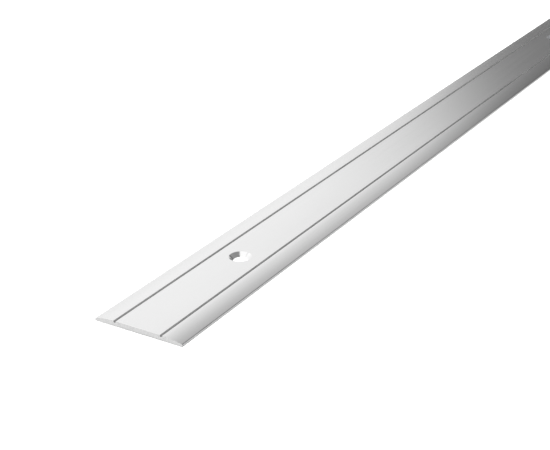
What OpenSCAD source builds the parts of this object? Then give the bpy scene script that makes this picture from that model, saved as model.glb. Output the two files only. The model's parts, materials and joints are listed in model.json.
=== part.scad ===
// Screw-down threshold strip: a flat anodised aluminium extrusion with two grooves, thin
// rounded flanks and a row of countersunk holes. Countersunk screws in nylon wall plugs
// hold it to the floor. The first hole is open, and each other hole holds its screw.
// Origin: middle of the strip's underside. +X along the strip, +Y across it, +Z up.

/* [Strip] */
// Length of the strip
strip_l = 900; // [600:1:1200]
// Width over both flanks
strip_w = 30; // [28:0.5:40]
// Thickness of the middle band
strip_t = 1.6; // [1.55:0.05:2.5]
// Height of the thin outer edges
edge_t = 0.75; // [0.4:0.05:1.2]

/* [Grooves] */
// Distance from the centre line to the middle of each groove
groove_y = 8; // [6:0.05:9]
// Width of each groove
groove_w = 0.8; // [0.4:0.05:1]
// Depth of each groove at its round bottom
groove_d = 0.5; // [0.3:0.05:0.7]

/* [Screw holes] */
// Number of holes along the strip
hole_count = 4; // [3:1:6]
// Distance from each end of the strip to the nearest hole
hole_end_gap = 50; // [20:1:80]
// Diameter of the hole through the strip
hole_d = 4.4; // [4.2:0.1:4.6]
// Diameter of the 90 degree countersink at the top
sink_d = 7; // [6.9:0.1:7.2]

/* [Screws] */
// Length of each screw, with its head
screw_l = 30; // [25:1:40]
// Diameter over the thread
screw_d = 3.5; // [3:0.1:3.6]
// Diameter of the screw's core
core_d = 2.2; // [1.8:0.1:2.4]
// Diameter of the head
head_d = 6.8; // [6.4:0.1:6.8]
// Distance from one turn of the thread to the next
thread_pitch = 1.8; // [1.4:0.1:2.2]
// Width over the wings of the cross recess
recess_w = 3.9; // [3:0.1:4.2]
// Depth of the cross recess
recess_d = 1.7; // [1.2:0.1:1.9]

/* [Wall plugs] */
// Length of each plug
plug_l = 25; // [20:1:30]
// Diameter of each plug, and of its hole in the floor
plug_d = 5; // [4.8:0.1:6]
// Depth of the plug's mouth below the strip's underside
plug_sink = 2.2; // [2.1:0.1:5]
// Length of the plain neck above the teeth
neck_l = 7; // [5:0.5:10]
// Depth of the teeth
tooth_h = 0.3; // [0.1:0.05:0.4]
// Length of each tooth
tooth_l = 2; // [1.5:0.1:3]
// Width of the slots between the four legs
leg_gap = 0.8; // [0.4:0.1:1.2]

/* [Hidden] */
$fn = 64;
// Sides of the wide flank arc's full circle
arc_fn = 360;
// How far a cutter runs past the face that it opens
over = 1;

// The flanks start at the outer lips of the grooves, level with the middle band
flank_y = groove_y + groove_w / 2;
flank_w = strip_w / 2 - flank_y;
flank_drop = strip_t - edge_t;
flank_r = (flank_w ^ 2 + flank_drop ^ 2) / (2 * flank_drop);

// The holes are evenly spaced, and the countersink leaves a short straight land below it
hole_pitch = (strip_l - 2 * hole_end_gap) / (hole_count - 1);
land_h = strip_t - (sink_d - hole_d) / 2;
// Holes that hold a screw: all but the first
fixed_holes = [for (i = [2:hole_count]) i];

// The head's cone lies on the countersink, so a head smaller than the sink sits lower
rim_z = strip_t - (sink_d - head_d) / 2;
rim_h = 0.1;
head_z = rim_z + rim_h;
core_r = core_d / 2;
thread_r = screw_d / 2;
thread_h = thread_r - core_r;
neck_extra = 0.15;
neck_r = core_r + neck_extra;
neck_z = rim_z - (head_d / 2 - neck_r);
tip_z = head_z - screw_l;
tip_l = 4;
// The thread starts below the strip, and each ridge is twice ridge_half high at its foot
thread_top_z = -1.6;
ridge_half = 0.26;
turns = floor((thread_top_z - tip_z - ridge_half) / thread_pitch);

// Width of the recess's wings, and the radius where they meet its bottom
wing_w = 0.9;
recess_bottom_r = 0.55;

plug_top_z = -plug_sink;
plug_end_z = plug_top_z - plug_l;
plug_r = plug_d / 2;
// The nose is the smooth end below the teeth, and slot_gap is the whole ring above the slots
nose_l = 2;
tooth_step_l = 0.2;
slot_gap = 1;
mouth_gap = 0.25;
mouth_r = thread_r + mouth_gap;
mouth_h = 0.6;
tooth_count = floor((plug_l - neck_l - nose_l) / tooth_l);
slot_top_z = plug_top_z - neck_l - slot_gap;

// Holes are counted from the -X end
function hole_x(i) = -strip_l / 2 + hole_end_gap + (i - 1) * hole_pitch;

// The core keeps its radius down to the tip, which is a cone
function core_at(z) = min(core_r, core_r * (z - tip_z) / tip_l);

module at_hole(i) {
    translate([hole_x(i), 0, 0])
        children();
}

// One flank: its top is an arc, level at the groove and lowest at the thin edge
module flank_2d() {
    intersection() {
        translate([flank_y, strip_t - flank_r])
            circle(r = flank_r, $fn = arc_fn);
        translate([flank_y, 0])
            square([flank_w, strip_t]);
    }
}

// A groove with straight sides and a half-round bottom, open at the top
module groove_2d() {
    translate([0, strip_t - groove_d + groove_w / 2]) {
        circle(d = groove_w);
        translate([-groove_w / 2, 0])
            square([groove_w, groove_d + over]);
    }
}

module profile_2d() {
    difference() {
        union() {
            translate([-flank_y, 0])
                square([2 * flank_y, strip_t]);
            flank_2d();
            mirror([1, 0, 0])
                flank_2d();
        }
        for (side = [-1, 1])
            translate([side * groove_y, 0])
                groove_2d();
    }
}

// A through hole with a short straight land below the countersink
module screw_hole() {
    rotate_extrude()
        polygon([
            [0, -over],
            [hole_d / 2, -over],
            [hole_d / 2, land_h],
            [sink_d / 2 + over, strip_t + over],
            [0, strip_t + over]
        ]);
}

module strip() {
    color([0.86, 0.87, 0.88])
        difference() {
            rotate([90, 0, 90])
                linear_extrude(height = strip_l, center = true)
                    profile_2d();
            for (i = [1:hole_count])
                at_hole(i)
                    screw_hole();
        }
}

// One turn of the thread as a ring: a thin ridge that shrinks with the core at the tip
function ridge(z) = let (share = core_at(z) / core_r) [
    [core_at(z + ridge_half), z + ridge_half],
    [core_at(z) + thread_h * share, z],
    [core_at(z - ridge_half), z - ridge_half]
];

// Head with a thin rim, neck, threaded core and tip, turned about the screw's axis
module screw_solid() {
    rotate_extrude()
        polygon(concat(
            [[0, head_z], [head_d / 2 - rim_h / 2, head_z]],
            [[head_d / 2, rim_z + rim_h / 2], [head_d / 2, rim_z]],
            [[neck_r, neck_z], [neck_r, thread_top_z + 2 * ridge_half]],
            [for (i = [0:turns - 1]) each ridge(thread_top_z - i * thread_pitch)],
            [[0, tip_z]]
        ));
}

// Four wings that narrow towards the bottom of the recess, open at the head's top
module cross_recess() {
    translate([0, 0, head_z - recess_d])
        intersection() {
            rotate_extrude()
                polygon([
                    [0, 0],
                    [recess_bottom_r, 0],
                    [recess_w / 2, recess_d],
                    [recess_w / 2, recess_d + over],
                    [0, recess_d + over]
                ]);
            union() {
                for (turn = [0, 90])
                    rotate([0, 0, turn])
                        translate([-recess_w / 2, -wing_w / 2, -over])
                            cube([recess_w, wing_w, recess_d + 2 * over]);
                cylinder(r1 = recess_bottom_r / 2, r2 = wing_w, h = recess_d + over);
            }
        }
}

module screw() {
    color([0.78, 0.79, 0.8])
        difference() {
            screw_solid();
            cross_recess();
        }
}

// Each tooth narrows slowly towards the nose and steps out steeply to the next, so the
// plug goes in easily and resists being drawn out
function tooth(z) = [[plug_r, z], [plug_r - tooth_h, z - tooth_l + tooth_step_l]];

module plug_blank() {
    rotate_extrude()
        polygon(concat(
            [[0, plug_top_z], [plug_r, plug_top_z]],
            [for (i = [0:tooth_count - 1]) each tooth(plug_top_z - neck_l - i * tooth_l)],
            [[plug_r - 2 * tooth_h, plug_end_z], [0, plug_end_z]]
        ));
}

// The mouth widens upwards, so the screw's tip finds the bore
module plug_mouth() {
    translate([0, 0, plug_top_z])
        rotate_extrude()
            polygon([[0, -mouth_h], [core_r, -mouth_h], [mouth_r, 0], [mouth_r, over], [0, over]]);
}

// Two crossed slots, open at the nose, part the plug's lower end into four legs
module leg_slots() {
    for (turn = [0, 90])
        rotate([0, 0, turn])
            translate([-plug_d, -leg_gap / 2, plug_end_z - over])
                cube([2 * plug_d, leg_gap, slot_top_z - plug_end_z + over]);
}

// The nylon closes round the thread, so the bore has the screw's own form
module wall_plug() {
    color([0.72, 0.73, 0.74])
        difference() {
            plug_blank();
            screw_solid();
            plug_mouth();
            leg_slots();
        }
}

strip();
for (i = fixed_holes) {
    at_hole(i) screw();
    at_hole(i) wall_plug();
}
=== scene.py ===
"""Looks of a screw-down aluminium threshold strip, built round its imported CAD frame.

Everything is in metres in the frame of the CAD model: +X along the strip, away from the end
with the open hole, +Y across it, +Z up, and the floor at z = 0.
"""

import json
import math

import bmesh
import bpy
from mathutils import Matrix, Vector

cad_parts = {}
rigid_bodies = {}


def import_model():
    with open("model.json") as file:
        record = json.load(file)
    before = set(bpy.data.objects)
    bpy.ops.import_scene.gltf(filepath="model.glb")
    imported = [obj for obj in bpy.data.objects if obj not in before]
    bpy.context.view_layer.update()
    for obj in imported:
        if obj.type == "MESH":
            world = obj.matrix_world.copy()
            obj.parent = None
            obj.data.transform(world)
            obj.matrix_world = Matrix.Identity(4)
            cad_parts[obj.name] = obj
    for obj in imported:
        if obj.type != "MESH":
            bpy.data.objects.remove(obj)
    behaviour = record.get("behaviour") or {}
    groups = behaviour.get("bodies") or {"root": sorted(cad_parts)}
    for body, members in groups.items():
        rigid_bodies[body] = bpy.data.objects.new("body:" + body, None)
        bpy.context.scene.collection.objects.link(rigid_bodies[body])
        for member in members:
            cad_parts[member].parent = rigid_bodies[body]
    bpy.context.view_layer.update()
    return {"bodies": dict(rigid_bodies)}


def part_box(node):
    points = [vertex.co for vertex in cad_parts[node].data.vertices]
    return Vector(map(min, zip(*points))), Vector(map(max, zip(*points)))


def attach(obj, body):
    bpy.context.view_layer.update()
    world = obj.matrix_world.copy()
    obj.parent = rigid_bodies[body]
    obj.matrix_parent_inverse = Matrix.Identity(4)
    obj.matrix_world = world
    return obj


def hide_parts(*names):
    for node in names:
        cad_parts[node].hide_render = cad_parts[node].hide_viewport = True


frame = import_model()

MM = 0.001
BODY = next(iter(frame["bodies"]))

# ---------------------------------------------------------------- sizes, as the CAD has them
STRIP_LOW, STRIP_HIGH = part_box("strip")
HALF_W = STRIP_HIGH.y
STRIP_T = STRIP_HIGH.z
EDGE_T = 0.75 * MM
GROOVE_Y = 8 * MM
GROOVE_W = 0.8 * MM
GROOVE_D = 0.5 * MM
HOLE_R = 2.2 * MM
SINK_R = 3.5 * MM
END_GAP = 50 * MM
HOLE_COUNT = 4
SCREW_NUMBERS = (2, 3, 4)

FLANK_Y = GROOVE_Y + GROOVE_W / 2
FLANK_DROP = STRIP_T - EDGE_T
FLANK_R = ((HALF_W - FLANK_Y) ** 2 + FLANK_DROP**2) / (2 * FLANK_DROP)
LAND_Z = STRIP_T - (SINK_R - HOLE_R)
HOLE_XS = [
    STRIP_LOW.x + END_GAP + i * (STRIP_HIGH.x - STRIP_LOW.x - 2 * END_GAP) / (HOLE_COUNT - 1)
    for i in range(HOLE_COUNT)
]

# Small radii that the CAD leaves sharp: the upper and lower corner of each outer edge, the
# lips of the grooves, and both rims of each hole
EDGE_ROUND = 0.3 * MM
FOOT_ROUND = 0.15 * MM
LIP_ROUND = 0.06 * MM
RIM_BREAK = 0.02 * MM

# Straight steps in each round of the strip's section, and round each hole
SMALL_ROUND_STEPS = 3
EDGE_STEPS = 6
FLANK_STEPS = 28
GROOVE_STEPS = 12
RIM_STEPS = 2
HOLE_SEGMENTS = 96

# Edges that turn by more than this stay sharp
SHARP_ANGLE = math.radians(35)
# Points closer than this after a cut are one point
CUT_MERGE = 0.0005 * MM
# The middle span of a noise value, where most of its values lie
NOISE_LOW = 0.3
NOISE_HIGH = 0.7


# ---------------------------------------------------------------- mesh helpers
def arc(centre, radius, start, end, steps):
    """Points of an arc from start to end degrees, both ends included."""
    points = []
    for i in range(steps + 1):
        angle = math.radians(start + (end - start) * i / steps)
        points.append((centre[0] + radius * math.cos(angle), centre[1] + radius * math.sin(angle)))
    return points


def ring(bm, centre_x, radius, z, segments):
    """Vertices round a vertical axis at y = 0."""
    verts = []
    for i in range(segments):
        angle = math.tau * i / segments
        verts.append(bm.verts.new((centre_x + radius * math.cos(angle), radius * math.sin(angle), z)))
    return verts


def bridge(bm, first, second, material=0):
    """Quads between two closed rings of the same count."""
    count = len(first)
    for i in range(count):
        j = (i + 1) % count
        bm.faces.new((first[i], first[j], second[j], second[i])).material_index = material


def join_close_points(bm, merge, sliver):
    """Joins points closer than merge, then removes edges and faces thinner than sliver."""
    bmesh.ops.remove_doubles(bm, verts=bm.verts, dist=merge)
    bmesh.ops.dissolve_degenerate(bm, edges=bm.edges, dist=sliver)


def add_object(name, bm, materials):
    """A finished object: faces smooth, and edges past the sharp angle kept sharp."""
    bmesh.ops.recalc_face_normals(bm, faces=bm.faces)
    for face in bm.faces:
        face.smooth = True
    for edge in bm.edges:
        edge.smooth = len(edge.link_faces) != 2 or edge.calc_face_angle(0) <= SHARP_ANGLE
    mesh = bpy.data.meshes.new(name)
    bm.to_mesh(mesh)
    bm.free()
    for material in materials:
        mesh.materials.append(material)
    made = bpy.data.objects.new(name, mesh)
    bpy.context.scene.collection.objects.link(made)
    return made


def weigh_normals(piece):
    """Large flat faces keep flat shading beside the narrow rounds along their edges."""
    weighted = piece.modifiers.new("weighted_normals", "WEIGHTED_NORMAL")
    weighted.keep_sharp = True


def cut_away(piece, cutter):
    """Takes the cutter's volume out of the piece, and removes the cutter."""
    difference = piece.modifiers.new("cut", "BOOLEAN")
    difference.operation = "DIFFERENCE"
    difference.solver = "EXACT"
    difference.object = cutter
    bpy.context.view_layer.update()
    evaluated = piece.evaluated_get(bpy.context.evaluated_depsgraph_get())
    cut_mesh = bpy.data.meshes.new_from_object(evaluated)
    bm = bmesh.new()
    bm.from_mesh(cut_mesh)
    join_close_points(bm, CUT_MERGE, CUT_MERGE)
    bm.to_mesh(cut_mesh)
    bm.free()
    piece.modifiers.clear()
    piece.data = cut_mesh
    bpy.data.objects.remove(cutter)


# ---------------------------------------------------------------- material helpers
def new_material(name):
    """A node material, with its tree, its Principled shader and an object-space coordinate."""
    material = bpy.data.materials.new(name)
    material.use_nodes = True
    tree = material.node_tree
    shader = tree.nodes["Principled BSDF"]
    coordinate = tree.nodes.new("ShaderNodeTexCoord")
    return material, tree, shader, coordinate.outputs["Object"]


def stretched_noise(tree, vector, scale, detail=3.0):
    """Noise with its own scale along each axis, in cycles per metre."""
    mapping = tree.nodes.new("ShaderNodeMapping")
    mapping.inputs["Scale"].default_value = scale
    tree.links.new(vector, mapping.inputs["Vector"])
    noise = tree.nodes.new("ShaderNodeTexNoise")
    noise.inputs["Scale"].default_value = 1.0
    noise.inputs["Detail"].default_value = detail
    tree.links.new(mapping.outputs["Vector"], noise.inputs["Vector"])
    return noise.outputs["Fac"]


def ranged(tree, value, low, high):
    """Maps a noise value's middle span to low..high."""
    node = tree.nodes.new("ShaderNodeMapRange")
    node.inputs["From Min"].default_value = NOISE_LOW
    node.inputs["From Max"].default_value = NOISE_HIGH
    node.inputs["To Min"].default_value = low
    node.inputs["To Max"].default_value = high
    tree.links.new(value, node.inputs["Value"])
    return node.outputs["Result"]


def tinted(tree, value, dark, light):
    """A colour between dark and light, led by a noise value."""
    ramp = tree.nodes.new("ShaderNodeValToRGB")
    for element, position, colour in zip(
        ramp.color_ramp.elements, (NOISE_LOW, NOISE_HIGH), (dark, light)
    ):
        element.position = position
        element.color = (*colour, 1)
    tree.links.new(value, ramp.inputs["Fac"])
    return ramp.outputs["Color"]


def bumped(tree, shader, height, strength, distance):
    """Relief led by a noise value: its strength from 0 to 1, and its depth in metres."""
    bump = tree.nodes.new("ShaderNodeBump")
    bump.inputs["Strength"].default_value = strength
    bump.inputs["Distance"].default_value = distance
    tree.links.new(height, bump.inputs["Height"])
    tree.links.new(bump.outputs["Normal"], shader.inputs["Normal"])


def greys(low, high):
    """A darker and a lighter neutral grey."""
    return (low, low, low), (high, high, high)


def metal_material(name, scale, tones, roughness, relief, detail=2.0):
    """Metal whose tone, gloss and relief follow one noise stretched along the tool marks."""
    material, tree, shader, vector = new_material(name)
    marks = stretched_noise(tree, vector, scale, detail)
    shader.inputs["Metallic"].default_value = 1.0
    tree.links.new(tinted(tree, marks, *tones), shader.inputs["Base Color"])
    tree.links.new(ranged(tree, marks, *roughness), shader.inputs["Roughness"])
    bumped(tree, shader, marks, *relief)
    return material


def anodised_material():
    """Satin silver anodising over the faint lengthwise lines of the extrusion die."""
    material, tree, shader, vector = new_material("anodised_aluminium")
    die_lines = stretched_noise(tree, vector, (9, 2600, 2600), 2.0)
    cloud = stretched_noise(tree, vector, (22, 70, 70))
    shader.inputs["Metallic"].default_value = 1.0
    tone = tinted(tree, cloud, (0.875, 0.875, 0.875), (0.893, 0.893, 0.893))
    tree.links.new(tone, shader.inputs["Base Color"])
    tree.links.new(ranged(tree, die_lines, 0.155, 0.19), shader.inputs["Roughness"])
    bumped(tree, shader, die_lines, 0.08, 0.004 * MM)
    return material


def nylon_material():
    """Moulded grey nylon: slightly waxy, with a faint texture."""
    material, tree, shader, vector = new_material("grey_nylon")
    grain = stretched_noise(tree, vector, (1500, 1500, 1500))
    tone = tinted(tree, grain, (0.36, 0.37, 0.385), (0.42, 0.43, 0.445))
    tree.links.new(tone, shader.inputs["Base Color"])
    tree.links.new(ranged(tree, grain, 0.42, 0.54), shader.inputs["Roughness"])
    shader.inputs["Subsurface Weight"].default_value = 0.08
    shader.inputs["Subsurface Scale"].default_value = 0.5 * MM
    bumped(tree, shader, grain, 0.15, 0.01 * MM)
    return material


ANODISED = anodised_material()
# The bare end that the saw leaves: duller, with fine upright saw lines, and a grey darkened further
# as painted shade on this end
SAWN_WITH_PAINTED_SHADE = metal_material(
    "sawn_aluminium_painted_shade",
    scale=(200, 5200, 500),
    tones=greys(0.42, 0.52),
    roughness=(0.32, 0.42),
    relief=(0.3, 0.01 * MM),
)
# The countersink and hole, cut after anodising: bright bare metal
MACHINED = metal_material(
    "machined_aluminium",
    scale=(400, 400, 9000),
    tones=greys(0.94, 0.98),
    roughness=(0.14, 0.20),
    relief=(0.12, 0.006 * MM),
)
# The grooves: a rougher finish, and a darker grey that is painted shade in the narrow recess
GROOVE_PAINTED_SHADE = metal_material(
    "groove_painted_shade",
    scale=(60, 900, 900),
    tones=greys(0.60, 0.70),
    roughness=(0.34, 0.46),
    relief=(0.15, 0.006 * MM),
)
# The thin outer edges, with a dark grey that is painted shade along the strip's sides
EDGE_PAINTED_SHADE = metal_material(
    "edge_painted_shade",
    scale=(120, 1800, 1800),
    tones=greys(0.31, 0.39),
    roughness=(0.26, 0.36),
    relief=(0.15, 0.006 * MM),
)
# Bright zinc plate with a little mottling
ZINC = metal_material(
    "zinc_plated_steel",
    scale=(900, 900, 900),
    tones=((0.62, 0.64, 0.67), (0.74, 0.755, 0.775)),
    roughness=(0.24, 0.34),
    relief=(0.1, 0.01 * MM),
    detail=3.0,
)
NYLON = nylon_material()


# ---------------------------------------------------------------- strip
# The strip's materials, in the order of its slots
STRIP_MATERIALS = (ANODISED, SAWN_WITH_PAINTED_SHADE, MACHINED, GROOVE_PAINTED_SHADE, EDGE_PAINTED_SHADE)
SAWN_FACE, MACHINED_FACE, GROOVE_FACE, EDGE_FACE = range(1, len(STRIP_MATERIALS))


def half_outline():
    """The +Y half of the cross-section as (y, z): out along the foot, up, and back over the top."""
    foot = arc((HALF_W - FOOT_ROUND, FOOT_ROUND), FOOT_ROUND, -90, 0, SMALL_ROUND_STEPS)
    flank_centre = (FLANK_Y, STRIP_T - FLANK_R)
    reach = HALF_W - EDGE_ROUND - FLANK_Y
    edge_z = flank_centre[1] + math.sqrt((FLANK_R - EDGE_ROUND) ** 2 - reach**2)
    flank_end = math.degrees(math.atan2(edge_z - flank_centre[1], reach))
    lip_start = math.degrees(math.acos(LIP_ROUND / FLANK_R))
    edge = arc((HALF_W - EDGE_ROUND, edge_z), EDGE_ROUND, 0, flank_end, EDGE_STEPS)
    flank = arc(flank_centre, FLANK_R, flank_end, lip_start, FLANK_STEPS)
    lip_z = STRIP_T - LIP_ROUND
    outer_lip = arc((FLANK_Y + LIP_ROUND, lip_z), LIP_ROUND, 90, 180, SMALL_ROUND_STEPS)
    bottom_centre = (GROOVE_Y, STRIP_T - GROOVE_D + GROOVE_W / 2)
    bottom = arc(bottom_centre, GROOVE_W / 2, 0, -180, GROOVE_STEPS)
    inner_y = GROOVE_Y - GROOVE_W / 2
    inner_lip = arc((inner_y - LIP_ROUND, lip_z), LIP_ROUND, 0, 90, SMALL_ROUND_STEPS)
    return foot + edge + flank[1:-1] + outer_lip + bottom + inner_lip


def holed_face(bm, corners, rim):
    """Fills a rectangle round a hole: one face from each corner to the next, along the rim."""
    quarter = len(rim) // 4
    for k in range(4):
        start = quarter // 2 + k * quarter
        along = [rim[(start + i) % len(rim)] for i in range(quarter, -1, -1)]
        bm.faces.new([corners[k], corners[(k + 1) % 4], *along])


def hole_rings(bm, centre_x):
    """The wall of a countersunk hole. Returns its ring at the top face and at the underside."""
    # The rim's round meets the level top and the 45 degree cone
    rim_r = SINK_R + RIM_BREAK * math.tan(math.radians(45 / 2))
    rim = arc((rim_r, STRIP_T - RIM_BREAK), RIM_BREAK, 90, 135, RIM_STEPS)
    lower = [(HOLE_R, LAND_Z), (HOLE_R, RIM_BREAK), (HOLE_R + RIM_BREAK, 0.0)]
    rings = [ring(bm, centre_x, r, z, HOLE_SEGMENTS) for r, z in rim + lower]
    for above, below in zip(rings, rings[1:]):
        bridge(bm, above, below, MACHINED_FACE)
    return rings[0], rings[-1]


def in_groove(point):
    """Whether a point is on a groove's wall, from its bottom to halfway up the rounded lip."""
    slack = 0.01 * MM
    aside = abs(abs(point.y) - GROOVE_Y) - GROOVE_W / 2
    return aside < slack and EDGE_T < point.z < STRIP_T - LIP_ROUND / 2


def on_outer_edge(point):
    """Whether a point is on the thin outer edge, clear of the underside."""
    return abs(point.y) > HALF_W - EDGE_ROUND / 2 and point.z > FOOT_ROUND / 5


def build_strip():
    """The extrusion: one outline swept between stations, with sawn ends and countersunk holes."""
    half = half_outline()
    outline = half + [(-y, z) for y, z in reversed(half)]
    count = len(outline)
    top_edge = len(half) - 1
    foot_edge = count - 1
    # Each hole sits in a short section of its own
    patch_half = 2 * SINK_R
    stations = [STRIP_LOW.x]
    for x in HOLE_XS:
        stations += [x - patch_half, x + patch_half]
    stations.append(STRIP_HIGH.x)

    bm = bmesh.new()
    loops = [[bm.verts.new((x, y, z)) for y, z in outline] for x in stations]
    hole_sections = {1 + 2 * i: x for i, x in enumerate(HOLE_XS)}
    for s, (near, far) in enumerate(zip(loops, loops[1:])):
        for i in range(count):
            if s in hole_sections and i in (top_edge, foot_edge):
                continue
            j = (i + 1) % count
            side = bm.faces.new((near[i], near[j], far[j], far[i]))
            # Groove walls take the darker grey of painted shade in the recess
            if all(in_groove(vert.co) for vert in side.verts):
                side.material_index = GROOVE_FACE
            # The outer edge faces take the dark grey of painted shade
            elif all(on_outer_edge(vert.co) for vert in side.verts):
                side.material_index = EDGE_FACE
        if s in hole_sections:
            rim, foot = hole_rings(bm, hole_sections[s])
            for edge, inner in ((top_edge, rim), (foot_edge, foot)):
                plus, minus = edge, (edge + 1) % count
                if near[plus].co.y < 0:
                    plus, minus = minus, plus
                holed_face(bm, (far[plus], near[plus], near[minus], far[minus]), inner)
    # The sawn ends take a grey that also carries painted shade
    for loop in (loops[0], loops[-1]):
        bm.faces.new(loop).material_index = SAWN_FACE
    piece = add_object("strip_extrusion", bm, STRIP_MATERIALS)
    weigh_normals(piece)
    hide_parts("strip")
    return piece


# ---------------------------------------------------------------- screws
SCREW_SEGMENTS = 48
HEAD_R = 3.4 * MM
RIM_H = 0.1 * MM
CORE_R = 1.1 * MM
NECK_R = 1.25 * MM
THREAD_R = 1.75 * MM
THREAD_PITCH = 1.8 * MM
THREAD_TOP_Z = -1.34 * MM
# The first turn grows to its full height over this length
THREAD_RUN_IN = 0.8 * MM
# One pitch of the thread, downwards: the distance from its start, and its height as a share
# of the thread's depth
THREAD_RIDGE = (
    (0.00 * MM, 0.0),
    (0.62 * MM, 0.0),
    (0.76 * MM, 0.30),
    (0.86 * MM, 0.92),
    (0.90 * MM, 1.0),
    (0.94 * MM, 0.92),
    (1.04 * MM, 0.30),
    (1.18 * MM, 0.0),
)
THREAD_MERGE = 0.002 * MM
THREAD_SLIVER = 0.001 * MM
# The neck's step down to the core
NECK_STEP = 0.2 * MM
TIP_L = 4 * MM
RECESS_D = 1.7 * MM
RECESS_HALF_W = 1.95 * MM
RECESS_BOTTOM_R = 0.55 * MM
WING_HALF_W = 0.45 * MM
# Width of the wings at the recess's bottom, as a share of their width at the top
WING_TAPER = 0.8


def core_radius(z, tip_z):
    """Radius of the threaded core: straight, then a cone to the tip."""
    return min(CORE_R, CORE_R * (z - tip_z) / TIP_L)


def thread_columns(bm, centre_x, tip_z):
    """The helical thread as one seamless surface: each column is a step round the screw, and
    its points run down one pitch to where the same column's next turn begins."""
    depth = THREAD_R - CORE_R
    turns = math.ceil((THREAD_TOP_Z - tip_z) / THREAD_PITCH) + 1
    columns = []
    for c in range(turns * SCREW_SEGMENTS + 1):
        angle = math.tau * c / SCREW_SEGMENTS
        column_top = THREAD_TOP_Z + THREAD_PITCH * (1 - c / SCREW_SEGMENTS)
        column = []
        for offset, height in THREAD_RIDGE:
            z = max(min(column_top - offset, THREAD_TOP_Z), tip_z)
            core = core_radius(z, tip_z)
            growth = min(1.0, (THREAD_TOP_Z - z) / THREAD_RUN_IN) * core / CORE_R
            radius = core + depth * height * growth
            x, y = centre_x + radius * math.cos(angle), radius * math.sin(angle)
            column.append(bm.verts.new((x, y, z)))
        columns.append(column)
    for c in range(len(columns) - 1):
        here, there = list(columns[c]), list(columns[c + 1])
        if c + 1 + SCREW_SEGMENTS < len(columns):
            here.append(columns[c + SCREW_SEGMENTS][0])
            there.append(columns[c + 1 + SCREW_SEGMENTS][0])
        for k in range(len(here) - 1):
            bm.faces.new((here[k], there[k], there[k + 1], here[k + 1]))


def recess_cutter(centre_x, head_z):
    """A cross with four wings that narrow towards the bottom of the recess."""
    bm = bmesh.new()
    over = 0.3 * MM
    slope = (RECESS_HALF_W - RECESS_BOTTOM_R) / RECESS_D
    levels = (
        (head_z - RECESS_D, RECESS_BOTTOM_R, WING_HALF_W * WING_TAPER),
        (head_z + over, RECESS_HALF_W + slope * over, WING_HALF_W),
    )
    loops = []
    for z, reach, half in levels:
        corner = [(reach, -half), (reach, half), (half, half)]
        loop = []
        for quarter in range(4):
            turn = Matrix.Rotation(quarter * math.pi / 2, 2)
            for point in corner:
                x, y = turn @ Vector(point)
                loop.append(bm.verts.new((centre_x + x, y, z)))
        loops.append(loop)
    bridge(bm, *loops)
    bm.faces.new(loops[0])
    bm.faces.new(loops[1])
    return add_object("recess_cutter", bm, ())


def build_screw(number):
    """A countersunk wood screw with a helical thread and a cross recess."""
    node = f"screw_{number}"
    low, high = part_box(node)
    centre_x = (low.x + high.x) / 2
    head_z = high.z
    rim_z = head_z - RIM_H
    bm = bmesh.new()
    lathe = [
        (HEAD_R - RIM_H / 2, head_z),
        (HEAD_R, head_z - RIM_H / 2),
        (HEAD_R, rim_z),
        (NECK_R, rim_z - (HEAD_R - NECK_R)),
        (NECK_R, THREAD_TOP_Z + NECK_STEP),
        (CORE_R, THREAD_TOP_Z),
    ]
    rings = [ring(bm, centre_x, r, z, SCREW_SEGMENTS) for r, z in lathe]
    bm.faces.new(rings[0])
    for above, below in zip(rings, rings[1:]):
        bridge(bm, above, below)
    thread_columns(bm, centre_x, low.z)
    join_close_points(bm, THREAD_MERGE, THREAD_SLIVER)
    piece = add_object(f"countersunk_screw_{number}", bm, (ZINC,))
    cut_away(piece, recess_cutter(centre_x, head_z))
    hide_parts(node)
    return piece


# ---------------------------------------------------------------- wall plugs
PLUG_SEGMENTS = 64
NECK_L = 7 * MM
TOOTH_H = 0.3 * MM
TOOTH_L = 2 * MM
TOOTH_STEP_L = 0.2 * MM
TOOTH_COUNT = 8
LEG_GAP = 0.8 * MM
SLOT_GAP = 1 * MM
MOUTH_R = 2.0 * MM
MOUTH_H = 0.6 * MM
# Small radius at the mouth and at the nose
PLUG_ROUND = 0.12 * MM
PLUG_ROUND_STEPS = 4
SLOT_ROUND_STEPS = 8


def plug_outline(top_z, end_z, radius):
    """The plug's section as (r, z): down the outside over its teeth, and up the bore."""
    teeth = []
    for i in range(TOOTH_COUNT):
        crest_z = top_z - NECK_L - i * TOOTH_L
        teeth.append((radius, crest_z))
        teeth.append((radius - TOOTH_H, crest_z - TOOTH_L + TOOTH_STEP_L))
    rim_centre = (radius - PLUG_ROUND, top_z - PLUG_ROUND)
    rim = arc(rim_centre, PLUG_ROUND, 90, 0, PLUG_ROUND_STEPS)
    nose_centre = (radius - 2 * TOOTH_H - PLUG_ROUND, end_z + PLUG_ROUND)
    nose = arc(nose_centre, PLUG_ROUND, 0, -90, PLUG_ROUND_STEPS)
    bore = [(THREAD_R, end_z), (THREAD_R, top_z - MOUTH_H), (MOUTH_R, top_z)]
    return rim + teeth + nose + bore


def slot_cutters(centre_x, top_z, end_z):
    """Two crossed plates, round at their top end, as one closed mesh each."""
    cutters = []
    reach = 4 * MM
    half = LEG_GAP / 2
    low, high = end_z - SLOT_GAP, top_z - NECK_L - SLOT_GAP - half
    outline = [(-half, low), *arc((0, high), half, 180, 0, SLOT_ROUND_STEPS), (half, low)]
    for turn in (0, 90):
        bm = bmesh.new()
        sides = []
        for depth in (-reach, reach):
            sides.append([bm.verts.new((depth, across, z)) for across, z in outline])
        bridge(bm, *sides)
        for side in sides:
            bm.faces.new(side)
        spin = Matrix.Translation((centre_x, 0, 0)) @ Matrix.Rotation(math.radians(turn), 4, "Z")
        bmesh.ops.transform(bm, matrix=spin, verts=bm.verts)
        cutters.append(add_object("slot_cutter", bm, ()))
    return cutters


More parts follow.
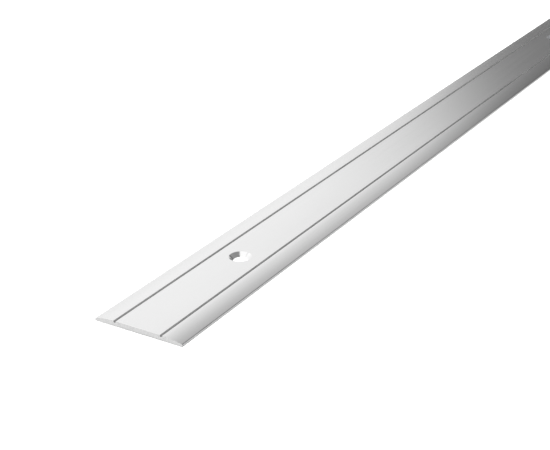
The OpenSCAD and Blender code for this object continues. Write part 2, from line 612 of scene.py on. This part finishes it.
def build_plug(number):
    """A nylon wall plug: a plain neck, teeth that resist being drawn out, and four legs."""
    node = f"wall_plug_{number}"
    low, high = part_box(node)
    centre_x = (low.x + high.x) / 2
    bm = bmesh.new()
    section = plug_outline(high.z, low.z, high.y)
    rings = [ring(bm, centre_x, r, z, PLUG_SEGMENTS) for r, z in section]
    for i, above in enumerate(rings):
        bridge(bm, above, rings[(i + 1) % len(rings)])
    piece = add_object(f"nylon_plug_{number}", bm, (NYLON,))
    for cutter in slot_cutters(centre_x, high.z, low.z):
        cut_away(piece, cutter)
    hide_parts(node)
    return piece


pieces = [build_strip()]
for number in SCREW_NUMBERS:
    pieces.append(build_screw(number))
    pieces.append(build_plug(number))
for piece in pieces:
    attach(piece, BODY)


# ---------------------------------------------------------------- floor
def build_floor():
    """A plain pale studio floor, a hair below the strip's underside."""
    material, tree, shader, vector = new_material("pale_floor")
    cloud = stretched_noise(tree, vector, (3, 3, 3))
    tone = tinted(tree, cloud, (0.91, 0.91, 0.91), (0.93, 0.93, 0.93))
    tree.links.new(tone, shader.inputs["Base Color"])
    shader.inputs["Roughness"].default_value = 0.9
    shader.inputs["Specular IOR Level"].default_value = 0.0
    reach = 8.0
    gap = 0.02 * MM
    bm = bmesh.new()
    bmesh.ops.create_grid(bm, x_segments=8, y_segments=8, size=reach)
    floor = add_object("studio_floor", bm, (material,))
    floor.location.z = -gap


# ---------------------------------------------------------------- light
def level_ramp(tree, value, levels, full):
    """A light level led by a cosine from -1 to 1, as a share of the full level."""
    lift = tree.nodes.new("ShaderNodeMapRange")
    lift.inputs["From Min"].default_value = -1.0
    lift.inputs["From Max"].default_value = 1.0
    tree.links.new(value, lift.inputs["Value"])
    ramp = tree.nodes.new("ShaderNodeValToRGB")
    tree.links.new(lift.outputs["Result"], ramp.inputs["Fac"])
    elements = ramp.color_ramp.elements
    while len(elements) < len(levels):
        elements.new(0.5)
    for element, (cosine, level) in zip(elements, levels):
        element.position = (cosine + 1) / 2
        element.color = (level / full, level / full, level / full, 1)
    return ramp.outputs["Color"]


def combined(tree, operation, first, second):
    """A value from two others, each a socket or a number."""
    node = tree.nodes.new("ShaderNodeMath")
    node.operation = operation
    for socket, value in zip(node.inputs, (first, second)):
        if isinstance(value, (int, float)):
            socket.default_value = value
        else:
            tree.links.new(value, socket)
    return node.outputs["Value"]


def cosine_to(tree, direction, axis):
    """Cosine of the angle between a direction and a fixed axis."""
    node = tree.nodes.new("ShaderNodeVectorMath")
    node.operation = "DOT_PRODUCT"
    node.inputs[1].default_value = axis
    tree.links.new(direction, node.inputs[0])
    return node.outputs["Value"]


def build_world():
    """Soft studio light from all round. Each level goes with the cosine to the axis beside it."""
    world = bpy.data.worlds.new("studio")
    bpy.context.scene.world = world
    world.use_nodes = True
    tree = world.node_tree
    background = tree.nodes["Background"]
    background.inputs["Color"].default_value = (1, 1, 1, 1)
    direction = tree.nodes.new("ShaderNodeTexCoord").outputs["Generated"]
    brightest = 1.6
    # Along the strip: dark low down beyond the far end, but for a bright spot at the horizon
    along_axis = (1.0, 0.0, 0.0)
    along_levels = (
        (-1.0, 0.70), (-0.7, 0.75), (-0.35, 1.0), (0.0, 1.08), (0.6, 1.01), (0.78, 0.98),
        (0.82, 0.88), (0.845, 0.76), (0.865, 0.53), (0.88, 0.25), (0.90, 0.17), (0.96, 0.20),
        (1.0, brightest),
    )
    # Across it: the weakest light comes from high up on the -Y side
    across_axis = (0.0, -0.661, 0.751)
    across_levels = (
        (-1.0, 0.75), (-0.1, 1.0), (0.0, 1.0), (0.08, 0.83), (0.16, 0.77), (0.24, 0.645),
        (0.32, 0.54), (0.42, 0.46), (0.6, 0.32), (1.0, 0.235),
    )
    # A softbox high up beyond the open-hole end, and a glow low down on the -Y side
    softboxes = (
        ((-0.51, 0.18, 0.84), ((-1.0, 0.0), (0.83, 0.0), (0.89, 1.04), (1.0, 1.04))),
        ((0.0, -0.94, -0.34), ((-1.0, 0.0), (0.33, 0.0), (0.5, 0.75), (1.0, 0.85))),
    )
    along = level_ramp(tree, cosine_to(tree, direction, along_axis), along_levels, brightest)
    across = level_ramp(tree, cosine_to(tree, direction, across_axis), across_levels, 1.0)
    share = combined(tree, "MULTIPLY", along, across)
    for axis, levels in softboxes:
        softbox = level_ramp(tree, cosine_to(tree, direction, axis), levels, brightest)
        share = combined(tree, "MAXIMUM", share, softbox)
    tree.links.new(combined(tree, "MULTIPLY", share, brightest), background.inputs["Strength"])


def build_overhead_light():
    """A wide light straight down that whitens the floor, and leaves no spot on the metal."""
    light = bpy.data.lights.new("overhead", "SUN")
    light.energy = 3.4
    light.angle = math.radians(30)
    lamp = bpy.data.objects.new("overhead", light)
    bpy.context.scene.collection.objects.link(lamp)
    lamp.visible_glossy = False


# ---------------------------------------------------------------- camera
def build_camera():
    """The camera stands low beside the open-hole end and looks along the strip."""
    pitch, heading, roll = math.radians(24.72), math.radians(33.21), math.radians(-2.02)
    from_end = Vector((-214.11, -185.85, 160.22)) * MM
    data = bpy.data.cameras.new("camera")
    data.sensor_width = 36.0
    data.lens = 77.74
    data.clip_start = 0.01
    data.clip_end = 50.0
    camera = bpy.data.objects.new("camera", data)
    bpy.context.scene.collection.objects.link(camera)
    aim = (
        Matrix.Rotation(heading - math.pi / 2, 4, "Z")
        @ Matrix.Rotation(math.pi / 2 - pitch, 4, "X")
        @ Matrix.Rotation(roll, 4, "Z")
    )
    near_end = Vector((STRIP_LOW.x, 0, 0))
    camera.matrix_world = Matrix.Translation(near_end + from_end) @ aim
    bpy.context.scene.camera = camera


build_floor()
build_world()
build_overhead_light()
build_camera()
bpy.context.scene.view_settings.view_transform = "Standard"

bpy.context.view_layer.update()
